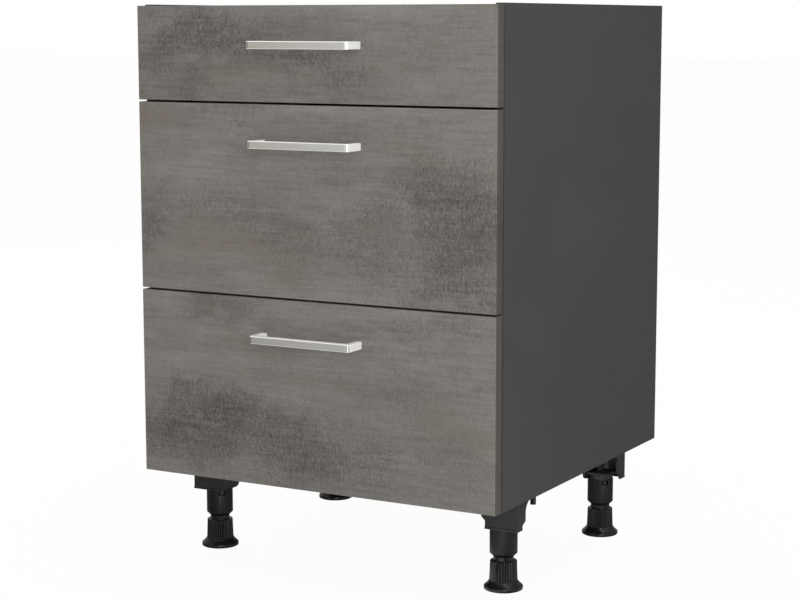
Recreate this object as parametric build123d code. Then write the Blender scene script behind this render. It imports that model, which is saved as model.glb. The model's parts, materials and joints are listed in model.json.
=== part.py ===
from build123d import *
import math
import os

# A kitchen base cabinet without its worktop: a chipboard carcass on four levelling legs, with three
# drawers on telescopic runners. Sizes are in millimetres. +Z is up and the front looks along -Y.
# The origin is on the floor, under the middle of the whole box.

# Carcass boards
CARCASS_WIDTH = 600.0
CARCASS_HEIGHT = 704.0
CARCASS_DEPTH = 565.0
BOARD = 16.0
BOARD_CHAMFER = 0.8
BACK_SHEET = 3.0
BACK_INSET = 15.0
BACK_GROOVE_DEPTH = 7.0
BACK_PLAY = 0.15
TOP_RAIL_WIDTH = 90.0
TOP_RAIL_DROP = 8.0
WORKTOP_HOLE_RADIUS = 2.5
WORKTOP_HOLE_SPACING = 400.0

# Carcass connectors: a cam in the end of a board pulls on a bolt in the side, beside a wooden dowel.
# Fasteners and the holes drilled for them are drawn with six sides.
FASTENER_SIDES = 6
CONNECTOR_MARGIN = 35.0
CONNECTOR_PITCH = 32.0
CONNECTOR_PLAY = 0.1
CAM_RADIUS = 7.4
CAM_HEIGHT = 12.0
CAM_SETBACK = 34.0
BOLT_RADIUS = 3.0
BOLT_IN_SIDE = 11.0
DOWEL_RADIUS = 4.0
DOWEL_LENGTH = 30.0
DOWEL_IN_SIDE = 10.0
HOLE_SPARE = 1.0

# Drawer fronts, in units of height from the bottom up
FRONT_UNITS = {"bottom": 2, "middle": 2, "top": 1}
DEEP_DRAWERS = ("bottom", "middle")
FRONT_THICKNESS = 19.0
FRONT_STANDOFF = 2.0
FRONT_GAP = 3.0
FRONT_SIDE_REVEAL = 1.5
FRONT_TOP_REVEAL = 2.0
FRONT_CHAMFER = 0.8
BUMPER_RADIUS = 4.0
BUMPER_MARGIN = 14.0

# Bow handles
HANDLE_HOLE_SPACING = 160.0
HANDLE_FOOT_WIDTH = 10.0
HANDLE_HEIGHT = 11.0
HANDLE_PROJECTION = 35.0
HANDLE_BAR = 10.0
HANDLE_BEND_RADIUS = 5.5
HANDLE_GRIP_RADIUS = 3.0
HANDLE_CHAMFER = 1.0
HANDLE_DROP = 56.0
HANDLE_SCREW_RADIUS = 2.0
HANDLE_SCREW_BITE = 9.0
HANDLE_SCREW_HEAD_RADIUS = 4.0
HANDLE_SCREW_HEAD = 2.4
SCREW_PLAY = 0.1

# Telescopic runners: cabinet rail, outer ball cage, middle rail, inner ball cage and the drawer's own
# rail lie one inside the other, as channels that get smaller
SHEET = 1.2
CAGE_WALL = 1.2
RUNNER_GAP = 0.3
RUNNER_END_GAP = 0.8
RAIL_HEIGHT = 26.0
RAIL_SETBACK = 4.0
RAIL_TAIL = 6.0
RAIL_STEP_GAP = 1.3
RAIL_FLOOR_GAP = 2.0
CAGE_LENGTH = 180.0
DRAWER_TRAVEL = 450.0
RUNNER_SCREW_RADIUS = 2.2
RUNNER_SCREW_LENGTH = 11.0
RUNNER_SCREW_HEAD_RADIUS = 4.0
RUNNER_SCREW_MARGIN = 60.0

# Drawer boxes
DRAWER_REAR_SPACE = 49.0
DRAWER_FLOOR_GAP = 4.0
SIDE_HEIGHT = 86.0
SIDE_GAP = 2.0
SIDE_STEP = 12.0
SIDE_FLANGE = 18.0
LIP_WIDTH = 6.0
LIP_DROP = 4.0
BOX_PLAY = 0.3
DEEP_BACK_HEIGHT = 175.0
FRONT_BRACKET_DEPTH = 40.0
FRONT_BRACKET_FLANGE = 13.0
FRONT_BRACKET_SHEET = 1.5
FRONT_BRACKET_MARGIN = 4.0
BRACKET_SCREW_SPACING = 25.0
BRACKET_SCREW_RADIUS = 1.75
BRACKET_SCREW_LENGTH = 13.0
BRACKET_SCREW_HEAD_RADIUS = 3.5
BRACKET_SCREW_HEAD = 2.0
GALLERY_RAIL = 10.0
GALLERY_RISE = 155.0
HOLDER_WIDTH = 16.0
HOLDER_HEIGHT = 22.0
HOLDER_DEPTH = 6.0

# Levelling legs, from the floor up
LEG_INSET = 50.0
FRONT_LEG_SETBACK = 105.0
REAR_LEG_SETBACK = 107.0
FOOT_RADIUS = 28.8
FOOT_RIM = 6.0
FOOT_FLARE = 7.5
FOOT_LEDGE = 0.4
KNOB_HEIGHT = 29.5
KNOB_BASE_RADIUS = 20.5
KNOB_TOP_RADIUS = 19.5
FLUTE_COUNT = 18
FLUTE_DEPTH = 1.1
NECK_RADIUS = 15.0
NECK_SHOWN = 7.5
NECK_ENGAGED = 7.0
FOOT_RISE = 6.0
FOOT_DROP = 15.0
NECK_PLAY = 0.45
NECK_SIDES = 24
TUBE_HEIGHT = 41.5
TUBE_RADIUS = 20.5
TUBE_CHAMFER = 4.2
SPIGOT_CLEARANCE = 1.0
SPIGOT_PLAY = 0.2
WINDOW_WIDTH = 10.5
WINDOW_HEIGHT = 7.5
WINDOW_DROP = 1.0
WINDOW_TURN = -45.0
LUG_WIDTH = 4.5
LUG_PLAY = 1.0
LUG_RECESS = 1.0
COLLAR_RADIUS = 19.3
COLLAR_HEIGHT = 7.5
BRACKET_HEIGHT = 50.0
BRACKET_WALL = 4.0
BRACKET_FLOOR = 4.0
BRACKET_PLATE = 5.0
BRACKET_OUTER = 33.0
BRACKET_INNER = 20.0
BRACKET_FRONT = 22.0
BRACKET_RIB = 9.0
BRACKET_WING = 6.0
BRACKET_WING_RISE = 12.0
BRACKET_LIP = 1.0
BRACKET_LIP_HEIGHT = 3.0
INNER_GUSSET_REAR = 26.0
INNER_GUSSET_ROUND = 9.0
GUSSET_TOE = -5.0
GUSSET_HEEL = 5.0
GUSSET_TOE_RISE = 7.0
GUSSET_HEEL_RISE = 12.0
GUSSET_SWEEP_RISE = 24.0
GUSSET_SWEEP_RADIUS = 17.0
PLATE_INNER = 42.0
PLATE_REAR = 48.0
PEG_RADIUS = 4.75
PEG_HEIGHT = 22.0
PEG_OUT = 27.0
PEG_BACK = 42.0
LEG_SCREW_PLACES = ((-32.0, 6.0), (4.0, 38.0))
LEG_SCREW_RADIUS = 1.75
LEG_SCREW_LENGTH = 16.0
LEG_SCREW_HEAD_RADIUS = 3.8
LEG_SCREW_HEAD = 2.2

# Levels and depths that follow from the sizes above
KNOB_BASE = FOOT_RIM + FOOT_FLARE
KNOB_TOP = KNOB_BASE + KNOB_HEIGHT
NECK_HIDDEN = NECK_ENGAGED + FOOT_DROP
SPIGOT_HEIGHT = TUBE_HEIGHT - NECK_HIDDEN - FOOT_RISE - SPIGOT_CLEARANCE
TUBE_BOTTOM = KNOB_TOP + NECK_SHOWN
TUBE_TOP = TUBE_BOTTOM + TUBE_HEIGHT
CARCASS_BOTTOM = TUBE_TOP + BRACKET_HEIGHT
CARCASS_TOP = CARCASS_BOTTOM + CARCASS_HEIGHT
TOTAL_DEPTH = HANDLE_PROJECTION + FRONT_THICKNESS + FRONT_STANDOFF + CARCASS_DEPTH
FRONT_FACE = HANDLE_PROJECTION - TOTAL_DEPTH / 2
FRONT_REAR = FRONT_FACE + FRONT_THICKNESS
CARCASS_FRONT = FRONT_REAR + FRONT_STANDOFF
CARCASS_REAR = CARCASS_FRONT + CARCASS_DEPTH
BACK_REAR = CARCASS_REAR - BACK_INSET
BACK_FRONT = BACK_REAR - BACK_SHEET
OUTER = CARCASS_WIDTH / 2
INNER = OUTER - BOARD
BOTTOM_TOP = CARCASS_BOTTOM + BOARD
TOP_RAIL_TOP = CARCASS_TOP - TOP_RAIL_DROP
TOP_RAIL_FRONTS = {"front_top_rail": CARCASS_FRONT, "rear_top_rail": BACK_FRONT - TOP_RAIL_WIDTH}
FRONT_UNIT = (CARCASS_HEIGHT - FRONT_TOP_REVEAL + FRONT_GAP) / sum(FRONT_UNITS.values())
HANDLE_REACH = (HANDLE_HOLE_SPACING + HANDLE_FOOT_WIDTH) / 2

# The runner's section, as distances inward from the carcass side
WALL_OUT = SIDE_GAP + SIDE_STEP
WALL_IN = WALL_OUT + SHEET
RAIL_FAR = WALL_OUT - SHEET - RUNNER_END_GAP
LOWER_WALL = RAIL_STEP_GAP + RAIL_HEIGHT + RAIL_FLOOR_GAP
RAIL_FRONT = CARCASS_FRONT + RAIL_SETBACK
DRAWER_REAR = BACK_FRONT - DRAWER_REAR_SPACE
RAIL_REAR = DRAWER_REAR + RAIL_TAIL
BASE_HALF = INNER - WALL_IN - BOX_PLAY
BACK_HALF = INNER - SIDE_GAP - LIP_WIDTH - BOX_PLAY
GALLERY_X = BACK_HALF - HOLDER_WIDTH / 2


def block(x, y, z):
    """Box between the low and high values along each axis."""
    centre = [(low + high) / 2 for low, high in (x, y, z)]
    size = [high - low for low, high in (x, y, z)]
    return Pos(*centre) * Box(*size)


def rod(start, direction, radius, length):
    """Cylinder from a point along a direction."""
    low_end = (Align.CENTER, Align.CENTER, Align.MIN)
    return Plane(origin=start, z_dir=direction) * Cylinder(radius, length, align=low_end)


def stud(start, direction, radius, length, sides=FASTENER_SIDES):
    """Fastener's shank, or the hole for one, from a point along a direction."""
    return extrude(Plane(origin=start, z_dir=direction) * RegularPolygon(radius, sides), length)


def screw(start, direction, radius, length, head_radius, head):
    """Screw whose shank starts under its head and runs along the direction."""
    back = [-value for value in direction]
    return stud(start, direction, radius, length) + stud(start, back, head_radius, head)


def along_y(points, front, rear):
    """Section in X and Z, run from front to rear."""
    plane = Plane(origin=(0, rear, 0), x_dir=(1, 0, 0), z_dir=(0, -1, 0))
    return extrude(plane * make_face(Polyline(*points, close=True).edges()), rear - front)


def channel(near, far, middle, half, wall):
    """Section of a channel on the left that opens inward, at distances from the carcass side."""
    inside = [(far, half - wall), (near + wall, half - wall), (near + wall, wall - half), (far, wall - half)]
    outside = [(far, -half), (near, -half), (near, half), (far, half)]
    return [(-INNER + inward, middle + rise) for inward, rise in outside + inside]


def other_side(shape):
    """The same piece on the other side of the cabinet."""
    return mirror(shape, about=Plane.YZ)


def group(shapes):
    """One node of several separate solids."""
    return Compound(children=[solid for shape in shapes for solid in shape.solids()])


def save(name, shape):
    """Write one sub-part."""
    export_step(shape, f"parts/{name}.step")


def fronts():
    """Name, lower edge and height of each drawer front, from the bottom up."""
    low = CARCASS_BOTTOM
    for name, units in FRONT_UNITS.items():
        height = units * FRONT_UNIT - FRONT_GAP
        yield name, low, height
        low += height + FRONT_GAP


def box_bottom(front_low):
    """Underside of the drawer box behind a front."""
    return front_low + BOARD + DRAWER_FLOOR_GAP


def step_level(front_low):
    """Underside of the step in the drawer's steel side, over the runner."""
    return box_bottom(front_low) + LOWER_WALL


def connectors():
    """Y of the cam and of the dowel, Z of the board's middle, and which face the cam is let in from."""
    bottom_middle = CARCASS_BOTTOM + BOARD / 2
    for edge, inward in ((CARCASS_FRONT, 1), (BACK_FRONT, -1)):
        cam_y = edge + inward * CONNECTOR_MARGIN
        yield "bottom_panel", cam_y, cam_y + inward * CONNECTOR_PITCH, bottom_middle, -1
    for name, front in TOP_RAIL_FRONTS.items():
        middle = front + TOP_RAIL_WIDTH / 2
        cam_y = middle - CONNECTOR_PITCH / 2
        yield name, cam_y, cam_y + CONNECTOR_PITCH, TOP_RAIL_TOP - BOARD / 2, 1


def runner_middle(front_low):
    """Level of the runner's middle."""
    return step_level(front_low) - RAIL_STEP_GAP - RAIL_HEIGHT / 2


def runner_screw_places(front_low):
    """Y and Z of each screw that holds a cabinet rail to its side."""
    ends = (RAIL_FRONT + RUNNER_SCREW_MARGIN, RAIL_REAR - RUNNER_SCREW_MARGIN)
    return [(y, runner_middle(front_low)) for y in ends]


def side_panel():
    """Left side: grooved for the back sheet and drilled for connectors and runners."""
    depth = (CARCASS_FRONT, CARCASS_REAR)
    height = (CARCASS_BOTTOM, CARCASS_TOP)
    panel = block((-OUTER, -INNER), depth, height)
    panel = chamfer(panel.edges().filter_by(Axis.Z), BOARD_CHAMFER)
    groove_y = (BACK_FRONT - BACK_PLAY, BACK_REAR + BACK_PLAY)
    panel -= block((-INNER - BACK_GROOVE_DEPTH, -INNER), groove_y, height)
    holes = []
    for _, cam_y, dowel_y, z, _ in connectors():
        holes.append((cam_y, z, BOLT_RADIUS + CONNECTOR_PLAY, BOLT_IN_SIDE))
        holes.append((dowel_y, z, DOWEL_RADIUS + CONNECTOR_PLAY, DOWEL_IN_SIDE))
    for _, front_low, _ in fronts():
        for y, z in runner_screw_places(front_low):
            holes.append((y, z, RUNNER_SCREW_RADIUS + SCREW_PLAY, RUNNER_SCREW_LENGTH))
    for y, z, radius, depth in holes:
        panel -= stud((-INNER, y, z), (-1, 0, 0), radius, depth + HOLE_SPARE)
    return panel


def drill_connectors(board, board_name):
    """Cam pockets, bolt bores and dowel holes in both ends of a board."""
    dowel_depth = DOWEL_LENGTH - DOWEL_IN_SIDE + HOLE_SPARE
    for name, cam_y, dowel_y, z, face in connectors():
        if name != board_name:
            continue
        for end in (-1, 1):
            inward = (-end, 0, 0)
            cam_top = (end * (INNER - CAM_SETBACK), cam_y, z + face * BOARD / 2)
            pocket_depth = BOARD / 2 + CAM_HEIGHT / 2
            board -= stud(cam_top, (0, 0, -face), CAM_RADIUS + CONNECTOR_PLAY, pocket_depth)
            board -= stud((end * INNER, cam_y, z), inward, BOLT_RADIUS + CONNECTOR_PLAY, CAM_SETBACK)
            board -= stud((end * INNER, dowel_y, z), inward, DOWEL_RADIUS + CONNECTOR_PLAY, dowel_depth)
    return board


def bottom_panel():
    """Floor of the carcass, which the legs are screwed to."""
    panel = block((-INNER, INNER), (CARCASS_FRONT, BACK_FRONT), (CARCASS_BOTTOM, BOTTOM_TOP))
    pilot_depth = LEG_SCREW_LENGTH - BRACKET_PLATE + HOLE_SPARE
    for x, y, _ in leg_screw_places():
        panel -= stud((x, y, CARCASS_BOTTOM), (0, 0, 1), LEG_SCREW_RADIUS + SCREW_PLAY, pilot_depth)
    return drill_connectors(panel, "bottom_panel")


def back_panel():
    """Thin back sheet in the grooves of the sides."""
    half = INNER + BACK_GROOVE_DEPTH - BACK_PLAY
    return block((-half, half), (BACK_FRONT, BACK_REAR), (CARCASS_BOTTOM, TOP_RAIL_TOP))


def top_rail(name):
    """Rail across the top of the carcass, with the worktop's screw holes."""
    front = TOP_RAIL_FRONTS[name]
    low = TOP_RAIL_TOP - BOARD
    rail = block((-INNER, INNER), (front, front + TOP_RAIL_WIDTH), (low, TOP_RAIL_TOP))
    rail = drill_connectors(rail, name)
    for side in (-1, 1):
        start = (side * WORKTOP_HOLE_SPACING / 2, front + TOP_RAIL_WIDTH / 2, low)
        rail -= rod(start, (0, 0, 1), WORKTOP_HOLE_RADIUS, BOARD)
    return rail


def cam(x, y, z, end):
    """Cam with a bore from its rim for the bolt."""
    body = stud((x, y, z - CAM_HEIGHT / 2), (0, 0, 1), CAM_RADIUS, CAM_HEIGHT)
    bore_start = (x + end * CAM_RADIUS, y, z)
    return body - stud(bore_start, (-end, 0, 0), BOLT_RADIUS + CONNECTOR_PLAY, CAM_RADIUS + BOLT_RADIUS)


def carcass_connectors():
    """Cams, bolts and dowels of both sides."""
    cams = []
    bolts = []
    dowels = []
    for _, cam_y, dowel_y, z, _ in connectors():
        for end in (-1, 1):
            inward = (-end, 0, 0)
            cams.append(cam(end * (INNER - CAM_SETBACK), cam_y, z, end))
            bolt_start = (end * (INNER + BOLT_IN_SIDE), cam_y, z)
            bolts.append(stud(bolt_start, inward, BOLT_RADIUS, BOLT_IN_SIDE + CAM_SETBACK))
            dowel_start = (end * (INNER + DOWEL_IN_SIDE), dowel_y, z)
            dowels.append(stud(dowel_start, inward, DOWEL_RADIUS, DOWEL_LENGTH))
    return group(cams), group(bolts), group(dowels)


def drawer_front(low, height):
    """Front board with eased edges, drilled for the handle's screws and the brackets' screws."""
    half = OUTER - FRONT_SIDE_REVEAL
    board = block((-half, half), (FRONT_FACE, FRONT_REAR), (low, low + height))
    board = chamfer(board.edges().group_by(Axis.Y)[0], FRONT_CHAMFER)
    for x, z in handle_screw_places(low + height):
        board -= stud((x, FRONT_REAR, z), (0, -1, 0), HANDLE_SCREW_RADIUS + SCREW_PLAY, FRONT_THICKNESS)
    pilot_depth = BRACKET_SCREW_LENGTH - FRONT_BRACKET_SHEET + HOLE_SPARE
    for x, z in bracket_screw_places(low):
        board -= stud((x, FRONT_REAR, z), (0, -1, 0), BRACKET_SCREW_RADIUS + SCREW_PLAY, pilot_depth)
    return board


def handle_screw_places(front_top):
    """X and Z of the handle's two screws."""
    return [(side * HANDLE_HOLE_SPACING / 2, front_top - HANDLE_DROP) for side in (-1, 1)]


def handle(front_top):
    """Bow handle: a square bar bent round at both ends, drilled for its screws."""
    bow = Pos(0, FRONT_FACE - HANDLE_PROJECTION / 2) * Rectangle(2 * HANDLE_REACH, HANDLE_PROJECTION)
    bow = fillet(bow.vertices().group_by(Axis.Y)[0], HANDLE_BEND_RADIUS)
    grip_width = 2 * HANDLE_REACH - 2 * HANDLE_FOOT_WIDTH
    grip_depth = HANDLE_PROJECTION - HANDLE_BAR
    grip = Pos(0, FRONT_FACE - grip_depth / 2) * Rectangle(grip_width, grip_depth)
    grip = fillet(grip.vertices().group_by(Axis.Y)[0], HANDLE_GRIP_RADIUS)
    level = front_top - HANDLE_DROP
    bar = extrude(Pos(0, 0, level - HANDLE_HEIGHT / 2) * (bow - grip), HANDLE_HEIGHT)
    ends = bar.edges().group_by(Axis.Z)
    bar = chamfer(ends[0] + ends[-1] - bar.edges().group_by(Axis.Y)[-1], HANDLE_CHAMFER)
    for x, z in handle_screw_places(front_top):
        depth = HANDLE_SCREW_BITE + HOLE_SPARE
        bar -= stud((x, FRONT_FACE, z), (0, -1, 0), HANDLE_SCREW_RADIUS + SCREW_PLAY, depth)
    return bar


def front_screws(front_low, front_top):
    """Screws through the front into the handle's feet, and through the brackets into the front."""
    forward = (0, -1, 0)
    screws = []
    length = FRONT_THICKNESS + HANDLE_SCREW_BITE
    sizes = (HANDLE_SCREW_RADIUS, length, HANDLE_SCREW_HEAD_RADIUS, HANDLE_SCREW_HEAD)
    for x, z in handle_screw_places(front_top):
        screws.append(screw((x, FRONT_REAR, z), forward, *sizes))
    sizes = (BRACKET_SCREW_RADIUS, BRACKET_SCREW_LENGTH, BRACKET_SCREW_HEAD_RADIUS, BRACKET_SCREW_HEAD)
    for x, z in bracket_screw_places(front_low):
        screws.append(screw((x, FRONT_REAR + FRONT_BRACKET_SHEET, z), forward, *sizes))
    return group(screws)


def bumpers(low, height):
    """Soft dots on the back of the front, which meet the carcass edges."""
    dots = []
    for x in (-OUTER + BOARD / 2, OUTER - BOARD / 2):
        for z in (low + BUMPER_MARGIN, low + height - BUMPER_MARGIN):
            dots.append(stud((x, FRONT_REAR, z), (0, 1, 0), BUMPER_RADIUS, FRONT_STANDOFF))
    return group(dots)


def runner_members():
    """Name, distance from the carcass side, half height and wall of each of the four nested channels."""
    near = 0.0
    half = RAIL_HEIGHT / 2
    for name in ("rails", "outer_cages", "middle_rails", "inner_cages"):
        wall = CAGE_WALL if name.endswith("cages") else SHEET
        yield name, near, half, wall
        near += wall + RUNNER_GAP
        half -= wall + RUNNER_GAP


def runner_nest():
    """Distance inward and half height that are left inside the four channels, for the drawer's own rail."""
    walls = 2 * (SHEET + CAGE_WALL) + 4 * RUNNER_GAP
    return walls, RAIL_HEIGHT / 2 - walls


def cage_start():
    """Front end of the ball cages at rest, so that they end in the middle of the overlap when pulled out."""
    overlap = RAIL_REAR - RAIL_FRONT - DRAWER_TRAVEL / 2
    return RAIL_FRONT + DRAWER_TRAVEL / 4 + (overlap - CAGE_LENGTH) / 2


def runner(front_low):
    """The pairs of nested channels of one drawer, by name."""
    middle = runner_middle(front_low)
    pairs = {}
    for name, near, half, wall in runner_members():
        front, rear = RAIL_FRONT, RAIL_REAR
        if name.endswith("cages"):
            front, rear = cage_start(), cage_start() + CAGE_LENGTH
        member = along_y(channel(near, RAIL_FAR, middle, half, wall), front, rear)
        if name == "rails":
            for y, z in runner_screw_places(front_low):
                member -= stud((-INNER, y, z), (1, 0, 0), RUNNER_SCREW_HEAD_RADIUS + SCREW_PLAY, SHEET)
        pairs[name] = group([member, other_side(member)])
    return pairs


def runner_screws():
    """Flush screws that hold the cabinet rails to the carcass sides."""
    screws = []
    sizes = (RUNNER_SCREW_RADIUS, RUNNER_SCREW_LENGTH, RUNNER_SCREW_HEAD_RADIUS, SHEET)
    for _, front_low, _ in fronts():
        for y, z in runner_screw_places(front_low):
            left = screw((-INNER, y, z), (-1, 0, 0), *sizes)
            screws += [left, other_side(left)]
    return group(screws)


def drawer_side(front_low):
    """Left drawer side, bent from one sheet: lip, wall, step, lower wall and base flange, with its rail."""
    low = box_bottom(front_low)
    step = step_level(front_low)
    top = low + SIDE_HEIGHT
    lip_in = SIDE_GAP + LIP_WIDTH
    flange_in = WALL_OUT + SIDE_FLANGE
    outside = [
        (lip_in, top - LIP_DROP), (lip_in, top), (SIDE_GAP, top), (SIDE_GAP, step),
        (WALL_OUT, step), (WALL_OUT, low), (flange_in, low),
    ]
    wall_in = SIDE_GAP + SHEET
    inside = [
        (flange_in, low + SHEET), (WALL_IN, low + SHEET), (WALL_IN, step + SHEET), (wall_in, step + SHEET),
        (wall_in, top - SHEET), (lip_in - SHEET, top - SHEET), (lip_in - SHEET, top - LIP_DROP),
    ]
    side = along_y([(-INNER + inward, z) for inward, z in outside + inside], FRONT_REAR, DRAWER_REAR)
    return side + along_y(drawer_rail_section(front_low), RAIL_FRONT, DRAWER_REAR)


def drawer_rail_section(front_low):
    """Section of the left drawer rail, a channel that opens towards the carcass side."""
    near, half = runner_nest()
    inside = half - SHEET
    web = WALL_OUT - SHEET
    section = [
        (near, half), (WALL_OUT, half), (WALL_OUT, -half), (near, -half),
        (near, -inside), (web, -inside), (web, inside), (near, inside),
    ]
    return [(-INNER + inward, runner_middle(front_low) + rise) for inward, rise in section]


def drawer_base(front_low):
    """Chipboard base, resting on the flanges of the sides."""
    low = box_bottom(front_low) + SHEET
    return block((-BASE_HALF, BASE_HALF), (FRONT_REAR, DRAWER_REAR), (low, low + BOARD))


def drawer_back(front_low, deep):
    """Chipboard back, stepped to stand between the lower walls and over the steps of the sides."""
    floor = box_bottom(front_low) + SHEET + BOARD
    step_top = step_level(front_low) + SHEET + BOX_PLAY
    top = box_bottom(front_low) + (DEEP_BACK_HEIGHT if deep else SIDE_HEIGHT - LIP_DROP)
    thickness = (DRAWER_REAR - BOARD, DRAWER_REAR)
    board = block((-BASE_HALF, BASE_HALF), thickness, (floor, top))
    return board + block((-BACK_HALF, BACK_HALF), thickness, (step_top, top))


def front_bracket_heights(front_low):
    """Lowest and highest level of the brackets that hold a front."""
    low = step_level(front_low) + SHEET + FRONT_BRACKET_MARGIN
    high = box_bottom(front_low) + SIDE_HEIGHT - LIP_DROP - FRONT_BRACKET_MARGIN
    return low, high


def bracket_screw_places(front_low):
    """X and Z of the screws that hold a front to its brackets."""
    x = INNER - SIDE_GAP - SHEET - FRONT_BRACKET_SHEET / 2 - FRONT_BRACKET_FLANGE / 2
    middle = sum(front_bracket_heights(front_low)) / 2
    half = BRACKET_SCREW_SPACING / 2
    return [(side * x, middle + rise) for side in (-1, 1) for rise in (-half, half)]


def front_brackets(front_low):
    """Angle brackets between the front and the walls of the sides."""
    low, high = front_bracket_heights(front_low)
    wall = -INNER + SIDE_GAP + SHEET
    rear = FRONT_REAR + FRONT_BRACKET_DEPTH
    along_side = block((wall, wall + FRONT_BRACKET_SHEET), (FRONT_REAR, rear), (low, high))
    flange_y = (FRONT_REAR, FRONT_REAR + FRONT_BRACKET_SHEET)
    bracket = along_side + block((wall, wall + FRONT_BRACKET_FLANGE), flange_y, (low, high))
    for x, z in bracket_screw_places(front_low):
        bracket -= stud((x, FRONT_REAR, z), (0, 1, 0), BRACKET_SCREW_RADIUS + SCREW_PLAY, FRONT_BRACKET_SHEET)
    return group([bracket, other_side(bracket)])


def gallery_rails(front_low):
    """Square rails above the sides of a deep drawer, between their holders."""
    middle = box_bottom(front_low) + GALLERY_RISE
    half = GALLERY_RAIL / 2
    y = (FRONT_REAR + HOLDER_DEPTH, DRAWER_REAR - BOARD - HOLDER_DEPTH)
    z = (middle - half, middle + half)
    return group([block((x - half, x + half), y, z) for x in (-GALLERY_X, GALLERY_X)])


def gallery_holders(front_low):
    """Holders of the gallery rails on the front and on the back."""
    middle = box_bottom(front_low) + GALLERY_RISE
    z = (middle - HOLDER_HEIGHT / 2, middle + HOLDER_HEIGHT / 2)
    front = (FRONT_REAR, FRONT_REAR + HOLDER_DEPTH)
    rear = (DRAWER_REAR - BOARD - HOLDER_DEPTH, DRAWER_REAR - BOARD)
    half = HOLDER_WIDTH / 2
    return group([block((x - half, x + half), y, z) for x in (-GALLERY_X, GALLERY_X) for y in (front, rear)])


def leg_places():
    """X and Y of each leg, with the way outward and the way to the cabinet's middle."""
    x = OUTER - LEG_INSET
    for row, y, inward in (
        ("front", CARCASS_FRONT + FRONT_LEG_SETBACK, 1),
        ("rear", CARCASS_REAR - REAR_LEG_SETBACK, -1),
    ):
        for side, outward in (("left", -1), ("right", 1)):
            yield f"{row}_{side}", outward * x, y, outward, inward


def at_legs(shape):
    """A leg's piece, drawn for the front right leg about its own axis, at all four legs."""
    placed = []
    for _, x, y, outward, inward in leg_places():
        piece = shape if outward > 0 else mirror(shape, about=Plane.YZ)
        piece = piece if inward > 0 else mirror(piece, about=Plane.XZ)
        placed.append(Pos(x, y, 0) * piece)
    return placed


def leg_screw_places():
    """X, Y and start level of each screw through a leg bracket's plate."""
    for _, x, y, outward, inward in leg_places():
        for out, back in LEG_SCREW_PLACES:
            yield x + outward * out, y + inward * back, CARCASS_BOTTOM - BRACKET_PLATE


def ring(radius, level, hollow=0.0):
    """Corners round the leg's axis at a level, every second one drawn in by a share of the radius."""
    corners = []
    for index in range(2 * FLUTE_COUNT):
        angle = math.pi * index / FLUTE_COUNT
        reach = radius * (1 - hollow * (index % 2))
        corners.append((reach * math.cos(angle), reach * math.sin(angle), level))
    return corners


def faceted(*rings):
    """Solid with flat faces between rings of corners, from the lowest ring up."""
    loops = [rings[0], rings[-1]]
    for low, high in zip(rings, rings[1:]):
        for index in range(len(low)):
            loops.append((low[index - 1], low[index], high[index], high[index - 1]))
    return Solid(Shell([Face(Wire.make_polygon(loop)) for loop in loops]))


def foot():
    """Screw foot: broad flared disc, fluted knob and the neck that screws into the tube."""
    flare_top = KNOB_BASE_RADIUS + FOOT_LEDGE
    disc = faceted(ring(FOOT_RADIUS, 0), ring(FOOT_RADIUS, FOOT_RIM), ring(flare_top, KNOB_BASE))
    hollow = FLUTE_DEPTH / KNOB_BASE_RADIUS
    knob = faceted(ring(KNOB_BASE_RADIUS, KNOB_BASE, hollow), ring(KNOB_TOP_RADIUS, KNOB_TOP, hollow))
    neck = stud((0, 0, KNOB_TOP), (0, 0, 1), NECK_RADIUS, NECK_SHOWN + NECK_HIDDEN, NECK_SIDES)
    return disc + knob + neck


def diagonal_block(width, height, reach, low):
    """Block along the diagonal through the leg, for the tube's windows and the spigot's lugs."""
    return Pos(0, 0, low + height / 2) * Rot(0, 0, WINDOW_TURN) * Box(width, 2 * reach, height)


def leg_tube():
    """Tube of the leg, with a chamfered mouth and two windows for the snap lugs."""
    outline = Polyline(
        (0, TUBE_BOTTOM),
        (TUBE_RADIUS - TUBE_CHAMFER, TUBE_BOTTOM),
        (TUBE_RADIUS, TUBE_BOTTOM + TUBE_CHAMFER),
        (TUBE_RADIUS, TUBE_TOP),
        (0, TUBE_TOP),
        close=True,
    )
    tube = revolve(Plane.XZ * make_face(outline.edges()), Axis.Z)
    tube -= stud((0, 0, TUBE_BOTTOM), (0, 0, 1), NECK_RADIUS + NECK_PLAY, TUBE_HEIGHT, NECK_SIDES)
    window_low = TUBE_TOP - WINDOW_DROP - WINDOW_HEIGHT
    return tube - diagonal_block(WINDOW_WIDTH, WINDOW_HEIGHT, TUBE_RADIUS + HOLE_SPARE, window_low)


def outer_gusset():
    """Outer wall of the bracket: its rear edge steps back and then sweeps out to the plate."""
    top = CARCASS_BOTTOM - BRACKET_PLATE
    sweep_low = TUBE_TOP + GUSSET_SWEEP_RISE
    edge = Polyline(
        (GUSSET_HEEL, sweep_low),
        (GUSSET_HEEL, TUBE_TOP + GUSSET_HEEL_RISE),
        (GUSSET_TOE, TUBE_TOP + GUSSET_TOE_RISE),
        (GUSSET_TOE, TUBE_TOP),
        (-BRACKET_FRONT, TUBE_TOP),
        (-BRACKET_FRONT, top),
        (PEG_BACK, top),
        (GUSSET_HEEL + GUSSET_SWEEP_RADIUS, sweep_low + GUSSET_SWEEP_RADIUS),
    )
    start = (GUSSET_HEEL, sweep_low)
    end = (GUSSET_HEEL + GUSSET_SWEEP_RADIUS, sweep_low + GUSSET_SWEEP_RADIUS)
    edge += RadiusArc(start, end, GUSSET_SWEEP_RADIUS)
    plane = Plane(origin=(BRACKET_OUTER - BRACKET_WALL, 0, 0), x_dir=(0, 1, 0), z_dir=(1, 0, 0))
    return extrude(plane * make_face(edge.edges()), BRACKET_WALL)


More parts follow.
